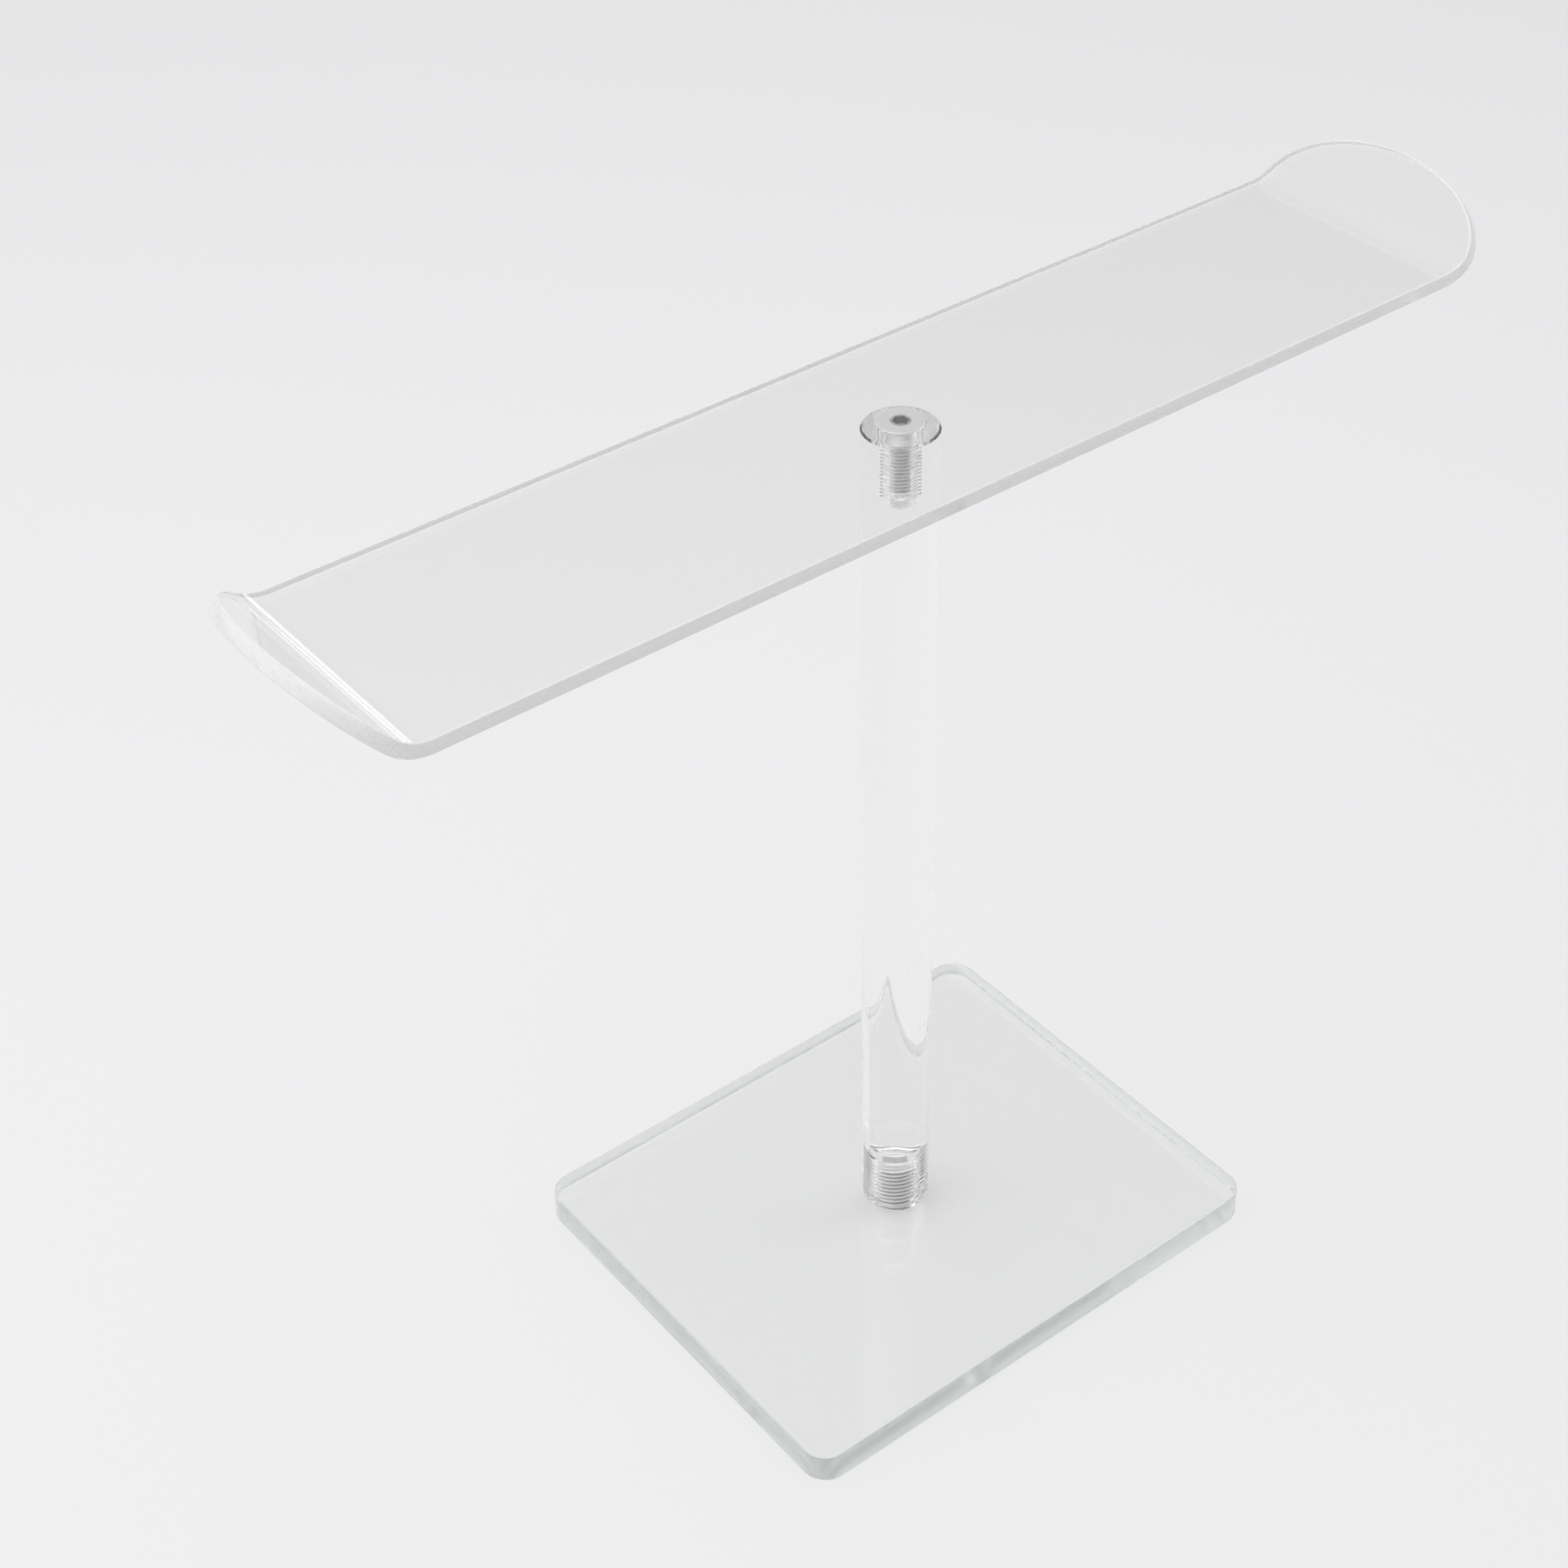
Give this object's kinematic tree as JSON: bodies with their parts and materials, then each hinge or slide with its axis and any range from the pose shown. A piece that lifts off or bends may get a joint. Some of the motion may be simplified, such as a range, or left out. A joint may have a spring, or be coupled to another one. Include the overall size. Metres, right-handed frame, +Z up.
{
  "type": "headband holder",
  "caption": "Clear acrylic headband holder: a flat rail with rounded upturned ends, screwed on a round post that stands on a rectangular base plate.",
  "frame": {"origin": "under the middle of the base plate, on the surface that the holder stands on", "axes": "+Z up along the post, +X along the rail, +Y across it"},
  "size_m": [0.2874, 0.108, 0.2358],
  "materials": {
    "clear_plate": "clear cast acrylic plate, polished edges",
    "clear_rod": "clear acrylic rod, polished",
    "clear_sheet": "clear acrylic sheet, flame polished edges",
    "screw_steel": "zinc-bright machine screw"
  },
  "bodies": {
    "base": {"base_plate": "clear_plate"},
    "post": {"post": "clear_rod", "base_screw": "screw_steel", "rail_screw": "screw_steel"},
    "rail": {"rail": "clear_sheet"}
  },
  "joints": [
    {"name": "post_swivel", "type": "hinge", "parent": "base", "child": "post", "pos_m": [0, 0, 0.008], "axis": [0, 0, 1], "continuous": true},
    {"name": "rail_swivel", "type": "hinge", "parent": "post", "child": "rail", "pos_m": [0, 0, 0.2208], "axis": [0, 0, 1], "continuous": true}
  ]
}
